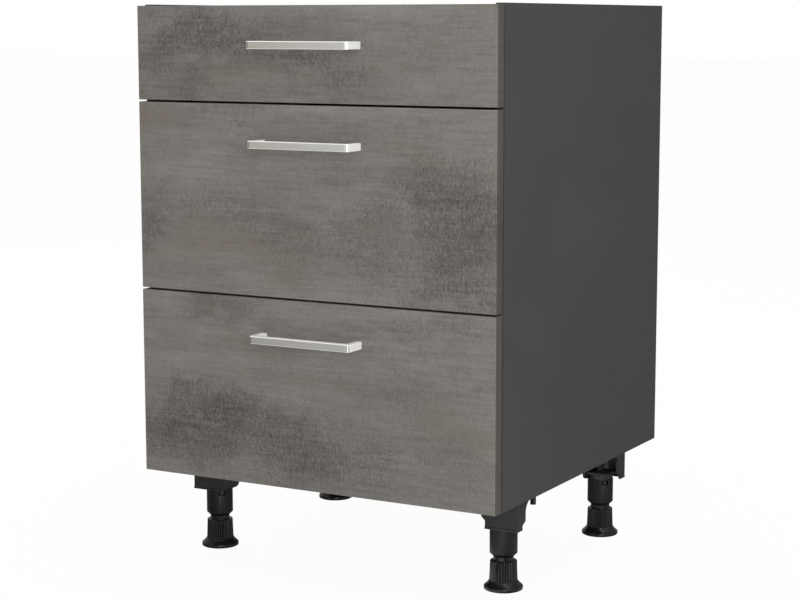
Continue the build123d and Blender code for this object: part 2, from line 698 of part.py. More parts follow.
def inner_gusset():
    """Inner wall of the bracket, with a rounded toe."""
    top = CARCASS_BOTTOM - BRACKET_PLATE
    outline = Polyline(
        (-BRACKET_FRONT, top),
        (-BRACKET_FRONT, TUBE_TOP),
        (INNER_GUSSET_REAR, TUBE_TOP),
        (INNER_GUSSET_REAR, top),
        close=True,
    )
    wall = make_face(outline.edges())
    toe = wall.vertices().group_by(Axis.X)[-1].sort_by(Axis.Y)[0]
    wall = fillet(toe, INNER_GUSSET_ROUND)
    plane = Plane(origin=(-BRACKET_INNER, 0, 0), x_dir=(0, 1, 0), z_dir=(1, 0, 0))
    return extrude(plane * wall, BRACKET_WALL)


def bracket_front_wall():
    """Front wall of the bracket, wider above than at its foot."""
    top = CARCASS_BOTTOM - BRACKET_PLATE
    wing = -BRACKET_INNER - BRACKET_WING
    outline = Polyline(
        (BRACKET_OUTER, TUBE_TOP),
        (BRACKET_OUTER, top),
        (wing, top),
        (wing, TUBE_TOP + BRACKET_WING + BRACKET_WING_RISE),
        (-BRACKET_INNER, TUBE_TOP + BRACKET_WING_RISE),
        (-BRACKET_INNER, TUBE_TOP),
        close=True,
    )
    plane = Plane(origin=(0, -BRACKET_FRONT + BRACKET_WALL, 0), x_dir=(1, 0, 0), z_dir=(0, -1, 0))
    return extrude(plane * make_face(outline.edges()), BRACKET_WALL)


def leg_bracket():
    """Bracket of the front right leg: plate, walls, floor, rib, peg, collar and a spigot with snap lugs."""
    plate_low = CARCASS_BOTTOM - BRACKET_PLATE
    bracket = block((-PLATE_INNER, BRACKET_OUTER), (-BRACKET_FRONT, PLATE_REAR), (plate_low, CARCASS_BOTTOM))
    bracket += outer_gusset() + inner_gusset() + bracket_front_wall()
    lip_front = -BRACKET_FRONT - BRACKET_LIP
    lip_top = TUBE_TOP + BRACKET_LIP_HEIGHT
    bracket += block((-BRACKET_INNER, BRACKET_OUTER), (lip_front, -BRACKET_FRONT), (TUBE_TOP, lip_top))
    bracket += stud((0, 0, TUBE_TOP), (0, 0, 1), COLLAR_RADIUS, COLLAR_HEIGHT, NECK_SIDES)
    floor_low = TUBE_TOP + COLLAR_HEIGHT
    floor = (floor_low, floor_low + BRACKET_FLOOR)
    bracket += block((-BRACKET_INNER, BRACKET_INNER), (-BRACKET_FRONT, BRACKET_INNER), floor)
    bracket += block((BRACKET_INNER, BRACKET_OUTER), (-BRACKET_FRONT, GUSSET_TOE), floor)
    rib = (-BRACKET_RIB / 2, BRACKET_RIB / 2)
    bracket += block(rib, (-BRACKET_FRONT, BRACKET_RIB / 2), (floor_low, plate_low))
    spigot_radius = NECK_RADIUS + NECK_PLAY - SPIGOT_PLAY
    bracket += stud((0, 0, TUBE_TOP), (0, 0, -1), spigot_radius, SPIGOT_HEIGHT)
    lug_low = TUBE_TOP - WINDOW_DROP - WINDOW_HEIGHT + LUG_PLAY
    lug_height = WINDOW_HEIGHT - 2 * LUG_PLAY
    bracket += diagonal_block(LUG_WIDTH, lug_height, TUBE_RADIUS - LUG_RECESS, lug_low)
    bracket += stud((PEG_OUT, PEG_BACK, plate_low), (0, 0, -1), PEG_RADIUS, PEG_HEIGHT - BRACKET_PLATE)
    for out, back in LEG_SCREW_PLACES:
        bracket -= stud((out, back, plate_low), (0, 0, 1), LEG_SCREW_RADIUS + SCREW_PLAY, BRACKET_PLATE)
    return bracket


def leg_screws():
    """Screws that hold the leg brackets to the bottom panel."""
    sizes = (LEG_SCREW_RADIUS, LEG_SCREW_LENGTH, LEG_SCREW_HEAD_RADIUS, LEG_SCREW_HEAD)
    return group([screw(place, (0, 0, 1), *sizes) for place in leg_screw_places()])


def save_carcass():
    """Boards, back sheet and connectors."""
    left = side_panel()
    save("side_panel_left", left)
    save("side_panel_right", other_side(left))
    save("bottom_panel", bottom_panel())
    save("back_panel", back_panel())
    for name in TOP_RAIL_FRONTS:
        save(name, top_rail(name))
    cams, bolts, dowels = carcass_connectors()
    save("connector_cams", cams)
    save("connector_bolts", bolts)
    save("wooden_dowels", dowels)
    save("runner_screws", runner_screws())


def save_drawer(name, low, height):
    """One drawer with its runners."""
    deep = name in DEEP_DRAWERS
    save(f"{name}_drawer_front", drawer_front(low, height))
    save(f"{name}_drawer_handle", handle(low + height))
    save(f"{name}_drawer_front_screws", front_screws(low, low + height))
    save(f"{name}_drawer_bumpers", bumpers(low, height))
    side = drawer_side(low)
    save(f"{name}_drawer_side_left", side)
    save(f"{name}_drawer_side_right", other_side(side))
    save(f"{name}_drawer_base", drawer_base(low))
    save(f"{name}_drawer_back", drawer_back(low, deep))
    save(f"{name}_drawer_front_brackets", front_brackets(low))
    for member, pair in runner(low).items():
        save(f"{name}_runner_{member}", pair)
    if deep:
        save(f"{name}_drawer_gallery_rails", gallery_rails(low))
        save(f"{name}_drawer_gallery_holders", gallery_holders(low))


def save_legs():
    """Brackets, tubes and feet."""
    save("leg_brackets", group(at_legs(leg_bracket())))
    save("leg_tubes", group(at_legs(leg_tube())))
    save("leg_screws", leg_screws())
    for (name, *_), placed in zip(leg_places(), at_legs(foot())):
        save(f"foot_{name}", placed)


def main():
    os.makedirs("parts", exist_ok=True)
    save_carcass()
    for name, low, height in fronts():
        save_drawer(name, low, height)
    save_legs()


if __name__ == "__main__":
    main()
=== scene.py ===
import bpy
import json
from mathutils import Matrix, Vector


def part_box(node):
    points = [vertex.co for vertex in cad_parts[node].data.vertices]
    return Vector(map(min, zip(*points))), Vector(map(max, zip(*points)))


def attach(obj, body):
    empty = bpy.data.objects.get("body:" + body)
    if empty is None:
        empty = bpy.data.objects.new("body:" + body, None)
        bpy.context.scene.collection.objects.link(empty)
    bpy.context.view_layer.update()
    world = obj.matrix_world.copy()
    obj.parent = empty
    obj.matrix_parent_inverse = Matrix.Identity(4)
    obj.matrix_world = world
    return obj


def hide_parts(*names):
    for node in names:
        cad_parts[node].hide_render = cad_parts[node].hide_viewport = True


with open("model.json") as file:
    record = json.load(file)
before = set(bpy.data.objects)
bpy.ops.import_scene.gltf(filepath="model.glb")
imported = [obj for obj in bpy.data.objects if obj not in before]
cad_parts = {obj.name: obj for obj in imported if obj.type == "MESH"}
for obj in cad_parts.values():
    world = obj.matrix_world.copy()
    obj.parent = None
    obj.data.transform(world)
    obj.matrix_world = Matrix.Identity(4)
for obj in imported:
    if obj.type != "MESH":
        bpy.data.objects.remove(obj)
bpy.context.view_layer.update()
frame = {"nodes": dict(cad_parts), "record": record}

import bmesh
import bpy
import json
import math
from mathutils import Vector

MM = 0.001
NODES = frame["nodes"]
DRAWERS = ("bottom", "middle", "top")
FEET = ("front_left", "front_right", "rear_left", "rear_right")

# Camera
CAMERA_PLACE = (1.4558, -2.6077, 0.8184)
CAMERA_YAW = 28.86
CAMERA_PITCH = 8.165
FOCAL_PIXELS = 1928.8
PRINCIPAL_COLUMN = 414.2
IMAGE_WIDTH = 800
SENSOR = 36.0
CLIP_END = 100.0

# Light
WORLD_FILL = 0.62
FLOOR_HALF = 40.0
# A little further than the feet reach below their place at rest
FLOOR_DROP = 15.3 * MM
FLOOR_TONE = 0.92
FLOOR_ROUGH = 0.9
FLOOR_GLOW = 0.96
# Share of the studio's brightness that metal mirrors in the floor, near the object and far from it
FLOOR_NEAR = 0.56
FLOOR_FAR = 0.92
# Distances from the object at which that share starts and stops growing
FLOOR_FADE = (1.5, 9.0)
# Lamps: place, target, width, height and watts
LAMPS = {
    "key": ((2.75, -2.95, 1.6), (0.0, -0.1, 0.45), 1.8, 2.7, 66.0),
    "top": ((0.2, -0.4, 3.6), (0.0, 0.0, 0.6), 3.0, 3.0, 38.0),
    "rear": ((-3.0, 2.6, 2.3), (0.0, 0.1, 0.45), 2.4, 2.4, 50.0),
}
# The lamp that metal doesn't mirror
UNMIRRORED = "rear"
# What metal mirrors in each direction, in degrees from straight ahead of the object to its right
ROOM_TONES = (
    (-180, (0.3, 0.3, 0.3)),
    (-125, (0.5, 0.5, 0.5)),
    (-100, (0.42, 0.42, 0.42)),
    (-62, (0.38, 0.38, 0.38)),
    (-52, (0.18, 0.17, 0.16)),
    (-44, (0.18, 0.17, 0.16)),
    (-38, (0.34, 0.3, 0.235)),
    (-35, (0.44, 0.4, 0.32)),
    (-33, (0.53, 0.515, 0.475)),
    (-31.5, (0.6, 0.605, 0.595)),
    (-28, (0.7, 0.71, 0.71)),
    (-16, (1.1, 1.1, 1.1)),
    (0, (1.1, 1.1, 1.1)),
    (6, (0.1, 0.1, 0.1)),
    (19, (0.1, 0.1, 0.1)),
    (25, (2.9, 2.9, 2.9)),
    (44, (2.9, 2.9, 2.9)),
    (48, (0.15, 0.15, 0.15)),
    (60, (0.15, 0.15, 0.15)),
    (65, (0.9, 0.9, 0.9)),
    (95, (0.9, 0.9, 0.9)),
    (125, (0.3, 0.3, 0.3)),
    (180, (0.3, 0.3, 0.3)),
)

# Bow handle
HANDLE_FOOT = 10.0 * MM
HANDLE_BAR = 10.0 * MM
HANDLE_BEND = 5.5 * MM
HANDLE_GRIP = 3.0 * MM
HANDLE_BEVEL = 1.0 * MM
HANDLE_LOWER_BEVEL = 0.6 * MM
HANDLE_FLAT_END = 1.5 * MM
BEND_STEPS = 12
# Corners closer than this to a level, or to the drawer's front, lie on it
NEAR_LEVEL = 0.01 * MM
NEAR_FRONT = 0.1 * MM

# Levelling foot
FLUTES = 30
FLUTE_STEPS = 6
THREAD_PITCH = 4.0
THREAD_DEPTH = 0.6
THREAD_STEP = 0.5
NECK_RADIUS = 15.0
NECK_START = 49.6
NECK_END = 71.9
NECK_TIP_INSET = 0.4


# Shader helpers
def feed(tree, socket, value):
    """Set a socket to a value, or link it if the value is another node's output."""
    if isinstance(value, bpy.types.NodeSocket):
        tree.links.new(value, socket)
    else:
        socket.default_value = value


def add(tree, kind, inputs=None, **settings):
    """Add a node, set its properties and feed its inputs."""
    made = tree.nodes.new(kind)
    for key, value in settings.items():
        setattr(made, key, value)
    for key, value in (inputs or {}).items():
        feed(tree, made.inputs[key], value)
    return made


def linear(red, green, blue):
    """Colour of a surface from its 0 to 255 display values."""
    shades = []
    for value in (red, green, blue):
        share = value / 255
        shades.append(share / 12.92 if share <= 0.04045 else ((share + 0.055) / 1.055) ** 2.4)
    return (*shades, 1.0)


def start_material(name):
    """New material with its node tree and its surface shader."""
    made = bpy.data.materials.new(name)
    made.use_nodes = True
    tree = made.node_tree
    return made, tree, tree.nodes["Principled BSDF"]


def place(tree):
    """The piece's own coordinates, in metres."""
    return add(tree, "ShaderNodeTexCoord").outputs["Object"]


def stretch(tree, vector, scale, offset=(0.0, 0.0, 0.0)):
    """Coordinates scaled along each axis, so that a texture is drawn out."""
    inputs = {"Vector": vector, "Scale": scale, "Location": offset}
    return add(tree, "ShaderNodeMapping", inputs).outputs[0]


def noise(tree, vector, scale, detail=3.0, roughness=0.55, distortion=0.0):
    """Cloudy values around one half."""
    inputs = {"Vector": vector, "Scale": scale, "Detail": detail}
    inputs |= {"Roughness": roughness, "Distortion": distortion}
    return add(tree, "ShaderNodeTexNoise", inputs).outputs[0]


def span(tree, value, low, high, start=0.0, end=1.0):
    """Map low to high onto start to end, with smooth ends."""
    inputs = {"Value": value, "From Min": low, "From Max": high, "To Min": start, "To Max": end}
    return add(tree, "ShaderNodeMapRange", inputs, interpolation_type="SMOOTHSTEP").outputs[0]


def sum_up(tree, operation, first, second):
    """One sum on two values."""
    return add(tree, "ShaderNodeMath", {0: first, 1: second}, operation=operation).outputs[0]


def blend(tree, share, first, second, mode="MIX"):
    """Mix two colours by a share."""
    made = add(tree, "ShaderNodeMix", data_type="RGBA", blend_type=mode)
    feed(tree, made.inputs[0], share)
    feed(tree, made.inputs[6], first)
    feed(tree, made.inputs[7], second)
    return made.outputs[2]


def relief(tree, height, strength, distance):
    """Bump from a height, with its depth in metres."""
    inputs = {"Height": height, "Strength": strength, "Distance": distance}
    return add(tree, "ShaderNodeBump", inputs).outputs[0]


def weigh(tree, base, value, weight):
    """Add to a base how far a cloudy value departs from its middle, times a weight."""
    inputs = {0: value, 1: weight, 2: -0.5 * weight}
    departure = add(tree, "ShaderNodeMath", inputs, operation="MULTIPLY_ADD").outputs[0]
    return sum_up(tree, "ADD", base, departure)


def drift(tree, vector, scale, reach):
    """Coordinates pushed about by clouds, by up to about a fifth of the reach."""
    inputs = {"Vector": vector, "Scale": scale, "Detail": 4.0, "Roughness": 0.6}
    clouds = add(tree, "ShaderNodeTexNoise", inputs).outputs["Color"]
    inputs = {0: clouds, 1: (0.5, 0.5, 0.5)}
    departure = add(tree, "ShaderNodeVectorMath", inputs, operation="SUBTRACT").outputs[0]
    inputs = {0: departure, 1: (reach, reach, reach), 2: vector}
    return add(tree, "ShaderNodeVectorMath", inputs, operation="MULTIPLY_ADD").outputs[0]


def scale_of(tree, value, stops):
    """Colours along a scale: each stop is a value from nought to one and its colour."""
    made = add(tree, "ShaderNodeValToRGB", {"Fac": value})
    elements = made.color_ramp.elements
    while len(elements) < len(stops):
        elements.new(0.5)
    for element, (position, colour) in zip(elements, stops):
        element.position = position
        element.color = colour
    return made.outputs["Color"]


def facing(tree, axis):
    """How squarely the surface faces along an axis, either way."""
    normal = add(tree, "ShaderNodeTexCoord").outputs["Normal"]
    part = add(tree, "ShaderNodeSeparateXYZ", {0: normal}).outputs[axis]
    return add(tree, "ShaderNodeMath", {0: part}, operation="ABSOLUTE").outputs[0]


# Materials
def soft_patch(tree, vector, patch):
    """Mask that is highest in the middle of an ellipse on the front and fades to its rim."""
    x, z, half_x, half_z, strength = patch
    scale = (1 / (half_x * MM), 0.0, 1 / (half_z * MM))
    moved = stretch(tree, vector, scale, (-x / half_x, 0.0, -z / half_z))
    ball = add(tree, "ShaderNodeTexGradient", {"Vector": moved}, gradient_type="SPHERICAL").outputs["Fac"]
    return span(tree, ball, 0.0, 0.9, 0.0, strength)


# Tones of the decor, from its darkest specks to its palest smears
DECOR_TONES = (
    (0.0, linear(56, 53, 51)),
    (0.3, linear(84, 80, 77)),
    (0.5, linear(100, 96, 92)),
    (0.66, linear(113, 109, 105)),
    (0.82, linear(123, 120, 115)),
    (1.0, linear(137, 135, 130)),
)

# Layers of the decor: how finely each repeats along X, Y and Z, per metre, its detail, roughness and twist
DECOR_LAYERS = {
    "haze": ((3.2, 1.0, 7.5), 8.0, 0.66, 0.0),
    "smears": ((3.0, 1.0, 34.0), 8.0, 0.68, 0.0),
    "streaks": ((14.0, 1.0, 240.0), 4.0, 0.7, 0.0),
    "mottle": ((60.0, 60.0, 52.0), 8.0, 0.8, 0.0),
    "scratches": ((480.0, 300.0, 160.0), 3.0, 0.68, 0.5),
    "specks": ((400.0, 400.0, 400.0), 3.0, 0.7, 0.0),
}
BENT_LAYERS = ("haze", "smears")
# How much each layer frays the dark zones, shades the ground and shades the zones
FRAY_WEIGHTS = {"mottle": 1.5, "smears": 0.9}
GROUND_WEIGHTS = {"haze": 0.6, "smears": 0.5, "streaks": 0.5, "mottle": 0.5, "specks": 0.42,
                  "scratches": 0.42}
ZONE_WEIGHTS = {"scratches": -0.75, "mottle": -0.5, "specks": -0.6}
# Scale and reach of the clouds that push the layers and the zones about
LAYER_BEND = (9.0, 0.035)
ZONE_SWAY = (7.0, 0.16)
ZONE_FRAY = (32.0, 0.06)
# How far up a front's cut lies for each metre across
CUT_RISE = 0.37
RUST_GRAIN = (3.5, 1.0, 11.0)
RUST_OFFSET = (3.1, 0.0, 1.7)
RUST = linear(113, 102, 93)
MOSS = linear(97, 95, 89)
# Painted shade: tone laid on the fronts' side edges, which face along X
SIDE_EDGE_SHADE = linear(64, 60, 57)


def weigh_layers(tree, base, layers, weights):
    """Add several layers to a base, each by its weight."""
    for title, weight in weights.items():
        base = weigh(tree, base, layers[title], weight)
    return base


def concrete_decor(name, shift, level, patches):
    """Decor of worn concrete: a faintly smeared ground with darker zones made of fine ragged specks, and
    painted shade on the faces that look along X.
    """
    made, tree, shader = start_material(name)
    spot = place(tree)
    own = stretch(tree, spot, (1.0, 1.0, 1.0), (shift, 0.0, CUT_RISE * shift))
    bent = drift(tree, own, *LAYER_BEND)
    layers = {}
    for title, (grain, *settings) in DECOR_LAYERS.items():
        drawn = stretch(tree, bent if title in BENT_LAYERS else own, grain)
        layers[title] = noise(tree, drawn, 1.0, *settings)
    loose = drift(tree, drift(tree, spot, *ZONE_SWAY), *ZONE_FRAY)
    field = None
    for patch in patches:
        mask = soft_patch(tree, loose, patch)
        field = mask if field is None else sum_up(tree, "MAXIMUM", field, mask)
    ragged = weigh_layers(tree, field, layers, FRAY_WEIGHTS)
    cloud = span(tree, ragged, 0.02, 0.9)
    tone = weigh_layers(tree, level, layers, GROUND_WEIGHTS)
    core = span(tree, ragged, 0.45, 1.1, 0.15, 0.32)
    depth = weigh_layers(tree, core, layers, ZONE_WEIGHTS)
    tone = sum_up(tree, "SUBTRACT", tone, sum_up(tree, "MULTIPLY", cloud, depth))
    colour = scale_of(tree, tone, DECOR_TONES)
    rust = noise(tree, stretch(tree, bent, RUST_GRAIN, RUST_OFFSET), 1.0, 5.0, 0.6)
    colour = blend(tree, span(tree, rust, 0.5, 0.7, 0.0, 0.4), colour, RUST)
    moss = sum_up(tree, "MULTIPLY", span(tree, layers["haze"], 0.5, 0.62, 0.0, 0.5), cloud)
    colour = blend(tree, moss, colour, MOSS)
    # Painted shade: faces that look along X, the fronts' side edges, are darkened towards the shade tone
    edge = span(tree, facing(tree, "X"), 0.4, 0.8, 0.0, 0.75)
    colour = blend(tree, edge, colour, SIDE_EDGE_SHADE)
    feed(tree, shader.inputs["Base Color"], colour)
    feed(tree, shader.inputs["Roughness"], span(tree, layers["mottle"], 0.3, 0.7, 0.58, 0.7))
    shader.inputs["Specular IOR Level"].default_value = 0.25
    feed(tree, shader.inputs["Normal"], relief(tree, tone, 0.3, 0.2 * MM))
    return made


def board(name, tone, light, rough):
    """Coated chipboard with a fine pearl texture."""
    made, tree, shader = start_material(name)
    spot = place(tree)
    cloud = noise(tree, spot, 5.0, 4.0)
    pores = noise(tree, spot, 900.0, 2.0, 0.6)
    colour = blend(tree, span(tree, cloud, 0.3, 0.7), tone, light)
    colour = blend(tree, span(tree, pores, 0.5, 0.8, 0.0, 0.3), colour, light)
    feed(tree, shader.inputs["Base Color"], colour)
    feed(tree, shader.inputs["Roughness"], span(tree, cloud, 0.3, 0.7, rough, rough + 0.08))
    shader.inputs["Specular IOR Level"].default_value = 0.12
    feed(tree, shader.inputs["Normal"], relief(tree, pores, 0.3, 0.1 * MM))
    return made


# Bare hardboard: how finely its fibres repeat along X, Y and Z, per metre, and its two browns
FIBRE_GRAIN = (260.0, 260.0, 420.0)
FIBRE_BEND = (60.0, 0.02)
DARK_FIBRE = linear(104, 79, 58)
PALE_FIBRE = linear(142, 113, 85)


def back_sheet(name, tone, light):
    """Thin hardboard, coated towards the drawers and bare at the back of the cabinet."""
    made = board(name, tone, light, 0.6)
    tree = made.node_tree
    shader = tree.nodes["Principled BSDF"]
    coated = shader.inputs["Base Color"].links[0].from_socket
    spot = place(tree)
    fibres = noise(tree, stretch(tree, drift(tree, spot, *FIBRE_BEND), FIBRE_GRAIN), 1.0, 5.0, 0.7)
    bare = blend(tree, span(tree, fibres, 0.3, 0.7), DARK_FIBRE, PALE_FIBRE)
    normal = add(tree, "ShaderNodeTexCoord").outputs["Normal"]
    rear = span(tree, add(tree, "ShaderNodeSeparateXYZ", {0: normal}).outputs["Y"], 0.2, 0.6)
    feed(tree, shader.inputs["Base Color"], blend(tree, rear, coated, bare))
    return made


# How finely the lines of brushed metal and of wood repeat along X, Y and Z, per metre
HANDLE_GRAIN = (14.0, 900.0, 1500.0)
ZINC_GRAIN = (300.0, 25.0, 500.0)
WOOD_GRAIN = (30.0, 600.0, 600.0)
# Painted highlight: near-white colour for the handles' narrow faces and bevels
NICKEL_SIDE_HIGHLIGHT = linear(252, 251, 249)


def metal(name, tone, light, rough, brushed, bite):
    """Bare metal, brushed along one axis: brushed gives the grain's scale along each axis."""
    made, tree, shader = start_material(name)
    spot = place(tree)
    lines = noise(tree, stretch(tree, spot, brushed), 1.0, 3.0, 0.6)
    cloud = noise(tree, spot, 30.0, 3.0)
    colour = blend(tree, span(tree, lines, 0.35, 0.65), tone, light)
    feed(tree, shader.inputs["Base Color"], colour)
    shader.inputs["Metallic"].default_value = 1.0
    fine = span(tree, lines, 0.3, 0.7, 0.0, 0.1)
    broad = span(tree, cloud, 0.3, 0.7, 0.0, 0.05)
    uneven = sum_up(tree, "ADD", fine, broad)
    feed(tree, shader.inputs["Roughness"], sum_up(tree, "ADD", uneven, rough))
    feed(tree, shader.inputs["Normal"], relief(tree, lines, bite, 0.05 * MM))
    return made


def nickel_with_painted_highlight(name, tone, light, rough):
    """Nickel of the handles: brushed and bright on the broad faces; the narrow faces and bevels carry a
    painted highlight, near-white and matt.
    """
    made = metal(name, tone, light, rough, HANDLE_GRAIN, 0.08)
    tree = made.node_tree
    shader = tree.nodes["Principled BSDF"]
    upright = span(tree, facing(tree, "Z"), 0.4, 0.6, 1.0, 0.0)
    broad = sum_up(tree, "MULTIPLY", span(tree, facing(tree, "Y"), 0.3, 0.6), upright)
    # Painted highlight: the narrow faces and bevels turn almost non-metallic and near-white, so they look lit
    # whatever they face
    feed(tree, shader.inputs["Metallic"], span(tree, broad, 0.0, 1.0, 0.05, 1.0))
    brushed = shader.inputs["Base Color"].links[0].from_socket
    feed(tree, shader.inputs["Base Color"], blend(tree, broad, NICKEL_SIDE_HIGHLIGHT, brushed))
    return made


def moulded(name, tone, light, rough, speck, gloss=0.5):
    """Moulded or coated surface with a fine even texture: speck is the texture's scale."""
    made, tree, shader = start_material(name)
    spot = place(tree)
    cloud = noise(tree, spot, 22.0, 3.0)
    skin = noise(tree, spot, speck, 2.0, 0.6)
    colour = blend(tree, span(tree, cloud, 0.35, 0.65), tone, light)
    feed(tree, shader.inputs["Base Color"], colour)
    feed(tree, shader.inputs["Roughness"], span(tree, cloud, 0.3, 0.7, rough, rough + 0.1))
    shader.inputs["Specular IOR Level"].default_value = gloss
    feed(tree, shader.inputs["Normal"], relief(tree, skin, 0.25, 0.08 * MM))
    return made


def clear_rubber(name):
    """Milky clear rubber of the bumpers."""
    made = moulded(name, linear(214, 216, 214), linear(230, 231, 229), 0.35, 700.0)
    made.node_tree.nodes["Principled BSDF"].inputs["Transmission Weight"].default_value = 0.5
    return made


def timber(name, tone, light):
    """Plain straight-grained wood."""
    made, tree, shader = start_material(name)
    spot = place(tree)
    fibres = noise(tree, stretch(tree, spot, WOOD_GRAIN), 1.0, 4.0, 0.6)
    feed(tree, shader.inputs["Base Color"], blend(tree, span(tree, fibres, 0.3, 0.7), tone, light))
    feed(tree, shader.inputs["Roughness"], span(tree, fibres, 0.3, 0.7, 0.6, 0.75))
    feed(tree, shader.inputs["Normal"], relief(tree, fibres, 0.3, 0.1 * MM))
    return made


# Dark clouds of the fronts: middle across, middle above the floor, half width, half height, strength
FRONT_CLOUDS = {
    "top": (
        (-185, 806, 175, 66, 0.9),
        (-110, 795, 150, 60, 0.7),
        (-20, 758, 170, 48, 0.75),
        (60, 734, 100, 46, 0.65),
        (-205, 722, 100, 44, 0.65),
        (170, 722, 180, 30, 0.4),
        (215, 785, 150, 56, 0.4),
    ),
    "middle": (
        (-275, 535, 110, 100, 0.8),
        (-165, 548, 140, 60, 0.55),
        (-40, 500, 180, 72, 0.6),
        (90, 520, 150, 110, 0.7),
        (240, 545, 190, 150, 1.0),
        (245, 465, 190, 90, 0.8),
        (-150, 692, 200, 34, 0.45),
    ),
    "bottom": (
        (-170, 215, 220, 96, 1.0),
        (-40, 215, 230, 84, 0.85),
        (80, 218, 170, 76, 0.55),
        (-155, 406, 110, 40, 0.75),
        (190, 402, 140, 36, 0.55),
        (140, 285, 220, 50, 0.5),
        (225, 225, 140, 90, 0.5),
    ),
}
MATERIALS = {
    "anthracite_board": board("anthracite_board", linear(67, 67, 65), linear(71, 71, 69), 0.58),
    "anthracite_sheet": back_sheet("anthracite_sheet", linear(62, 64, 61), linear(68, 70, 67)),
    "drawer_board": board("drawer_board", linear(181, 183, 183), linear(186, 188, 187), 0.5),
    "bright_nickel": nickel_with_painted_highlight("bright_nickel", (0.81, 0.795, 0.765, 1.0), (0.89, 0.875, 0.845, 1.0),
                                 0.07),
    "zinc_steel": metal("zinc_steel", (0.56, 0.57, 0.59, 1.0), (0.70, 0.71, 0.72, 1.0), 0.3, ZINC_GRAIN, 0.1),
    "grey_steel": moulded("grey_steel", linear(149, 152, 153), linear(153, 156, 157), 0.42, 1100.0),
    "black_plastic": moulded("black_plastic", linear(20, 20, 20), linear(25, 25, 25), 0.18, 1300.0, 0.4),
    "tube_plastic": moulded("tube_plastic", linear(22, 22, 22), linear(27, 27, 27), 0.36, 1100.0, 0.3),
    "bracket_plastic": moulded("bracket_plastic", linear(37, 36, 36), linear(43, 42, 42), 0.34, 900.0),
    "nylon": moulded("nylon", linear(222, 222, 216), linear(234, 234, 229), 0.4, 800.0),
    "beech": timber("beech", linear(198, 160, 118), linear(220, 188, 148)),
    "clear_bumper": clear_rubber("clear_bumper"),
}
# Where the decor is cut from, and how pale its ground is
FRONT_CUTS = {"bottom": (2.0, 0.68), "middle": (5.7, 0.73), "top": (9.4, 0.73)}
for drawer, (shift, level) in FRONT_CUTS.items():
    name = drawer + "_concrete"
    MATERIALS[name] = concrete_decor(name, shift, level, FRONT_CLOUDS[drawer])


# Edge finish of the carried-over solids: angles in degrees
SEW_WITHIN = 0.005 * MM
FLAT_WITHIN = 1
SMOOTH_WITHIN = 20
BEVEL_FROM = 35
BEVEL_STEPS = 2


def node_group(name):
    """Empty geometry group that takes a mesh in and gives one out."""
    made = bpy.data.node_groups.new(name, "GeometryNodeTree")
    made.interface.new_socket("Mesh", in_out="INPUT", socket_type="NodeSocketGeometry")
    made.interface.new_socket("Mesh", in_out="OUTPUT", socket_type="NodeSocketGeometry")
    return made, add(made, "NodeGroupInput").outputs[0], add(made, "NodeGroupOutput").inputs[0]


def joined_faces():
    """Group that sews the faces of a solid together along their edges."""
    made, mesh_in, mesh_out = node_group("joined_faces")
    inputs = {"Geometry": mesh_in, "Name": "custom_normal"}
    bare = add(made, "GeometryNodeRemoveAttribute", inputs).outputs[0]
    inputs = {"Geometry": bare, "Distance": SEW_WITHIN}
    sewn = add(made, "GeometryNodeMergeByDistance", inputs).outputs[0]
    made.links.new(sewn, mesh_out)
    return made


def smooth_curves():
    """Group that shades curves smoothly and keeps sharper edges."""
    made, mesh_in, mesh_out = node_group("smooth_curves")
    inputs = {"Geometry": mesh_in, "Shade Smooth": True}
    faces = add(made, "GeometryNodeSetShadeSmooth", inputs).outputs[0]
    angle = add(made, "GeometryNodeInputMeshEdgeAngle").outputs[0]
    inputs = {0: angle, 1: math.radians(SMOOTH_WITHIN)}
    sharp = add(made, "FunctionNodeCompare", inputs, operation="GREATER_THAN").outputs[0]
    inputs = {"Geometry": faces, "Selection": sharp, "Shade Smooth": False}
    kept = add(made, "GeometryNodeSetShadeSmooth", inputs, domain="EDGE").outputs[0]
    made.links.new(kept, mesh_out)
    return made


JOINED = joined_faces()
SMOOTHED = smooth_curves()


def finish_edges(thing, width):
    """Round the edges of a solid a little, so that they catch the light."""
    thing.modifiers.new("joined", "NODES").node_group = JOINED
    flat = thing.modifiers.new("flat", "DECIMATE")
    flat.decimate_type = "DISSOLVE"
    flat.angle_limit = math.radians(FLAT_WITHIN)
    bevel = thing.modifiers.new("edges", "BEVEL")
    bevel.width = width
    bevel.segments = BEVEL_STEPS
    bevel.limit_method = "ANGLE"
    bevel.angle_limit = math.radians(BEVEL_FROM)
    thing.modifiers.new("smooth", "NODES").node_group = SMOOTHED


EDGE_WIDTHS = {
    "concrete_decor": 0.7 * MM,
    "anthracite_board": 0.6 * MM,
    "anthracite_sheet": 0.2 * MM,
    "drawer_board": 0.5 * MM,
    "grey_steel": 0.35 * MM,
    "zinc_steel": 0.25 * MM,
    "nylon": 0.25 * MM,
    "black_plastic": 0.6 * MM,
    "beech": 0.4 * MM,
    "clear_bumper": 0.4 * MM,
}


# New pieces
def paint(thing, material):
    """Give a piece one material."""
    thing.data.materials.clear()
    thing.data.materials.append(material)


def settle(mesh, name, body, slot, material, *nodes):
    """Turn a bmesh into a piece that rides on a body and stands for CAD nodes."""
    bmesh.ops.recalc_face_normals(mesh, faces=mesh.faces)
    data = bpy.data.meshes.new(name)
    mesh.to_mesh(data)
    mesh.free()
    thing = bpy.data.objects.new(name, data)
    bpy.context.scene.collection.objects.link(thing)
    paint(thing, material)
    thing.modifiers.new("smooth", "NODES").node_group = SMOOTHED
    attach(thing, body)
    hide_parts(*nodes)
    return thing


def arc(centre_x, centre_y, radius, start, end):
    """Points of an arc between two angles in degrees."""
    points = []
    for step in range(BEND_STEPS + 1):
        angle = math.radians(start + (end - start) * step / BEND_STEPS)
        points.append((centre_x + radius * math.cos(angle), centre_y + radius * math.sin(angle)))
    return points


